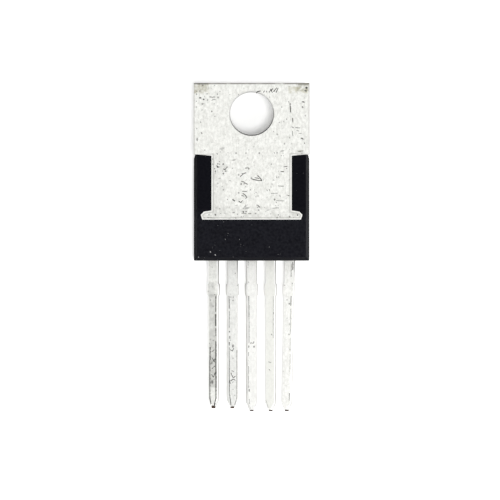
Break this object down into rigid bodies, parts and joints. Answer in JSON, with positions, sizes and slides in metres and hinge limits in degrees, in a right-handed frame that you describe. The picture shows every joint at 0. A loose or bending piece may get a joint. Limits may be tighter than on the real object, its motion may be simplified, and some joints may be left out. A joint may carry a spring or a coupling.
{
  "type": "voltage regulator",
  "caption": "Voltage regulator in a flat power package: a bare metal heat tab with a mounting hole, a dark moulded body and straight leads in a row.",
  "frame": {"origin": "centre of the mounting hole in the plane of the bare heat face", "axes": "+Z out of the heat face, +Y towards the free edge of the tab's head, leads along -Y; the part lies on its moulded front face"},
  "size_m": [0.0104, 0.0292, 0.0044],
  "materials": {
    "tin_plate": "satin",
    "mould_compound": "matte",
    "solder": "satin",
    "silicon": "satin",
    "bond_wire": "satin"
  },
  "bodies": {
    "root": {"molded_body": "mould_compound", "heat_tab": "tin_plate", "lead_1": "tin_plate", "lead_2": "tin_plate", "lead_4": "tin_plate", "lead_5": "tin_plate", "die_attach": "solder", "regulator_die": "silicon", "bond_wire_1a": "bond_wire", "bond_wire_1b": "bond_wire", "bond_wire_2a": "bond_wire", "bond_wire_2b": "bond_wire", "bond_wire_3a": "bond_wire", "bond_wire_3b": "bond_wire", "bond_wire_4": "bond_wire", "bond_wire_5": "bond_wire"}
  },
  "joints": []
}
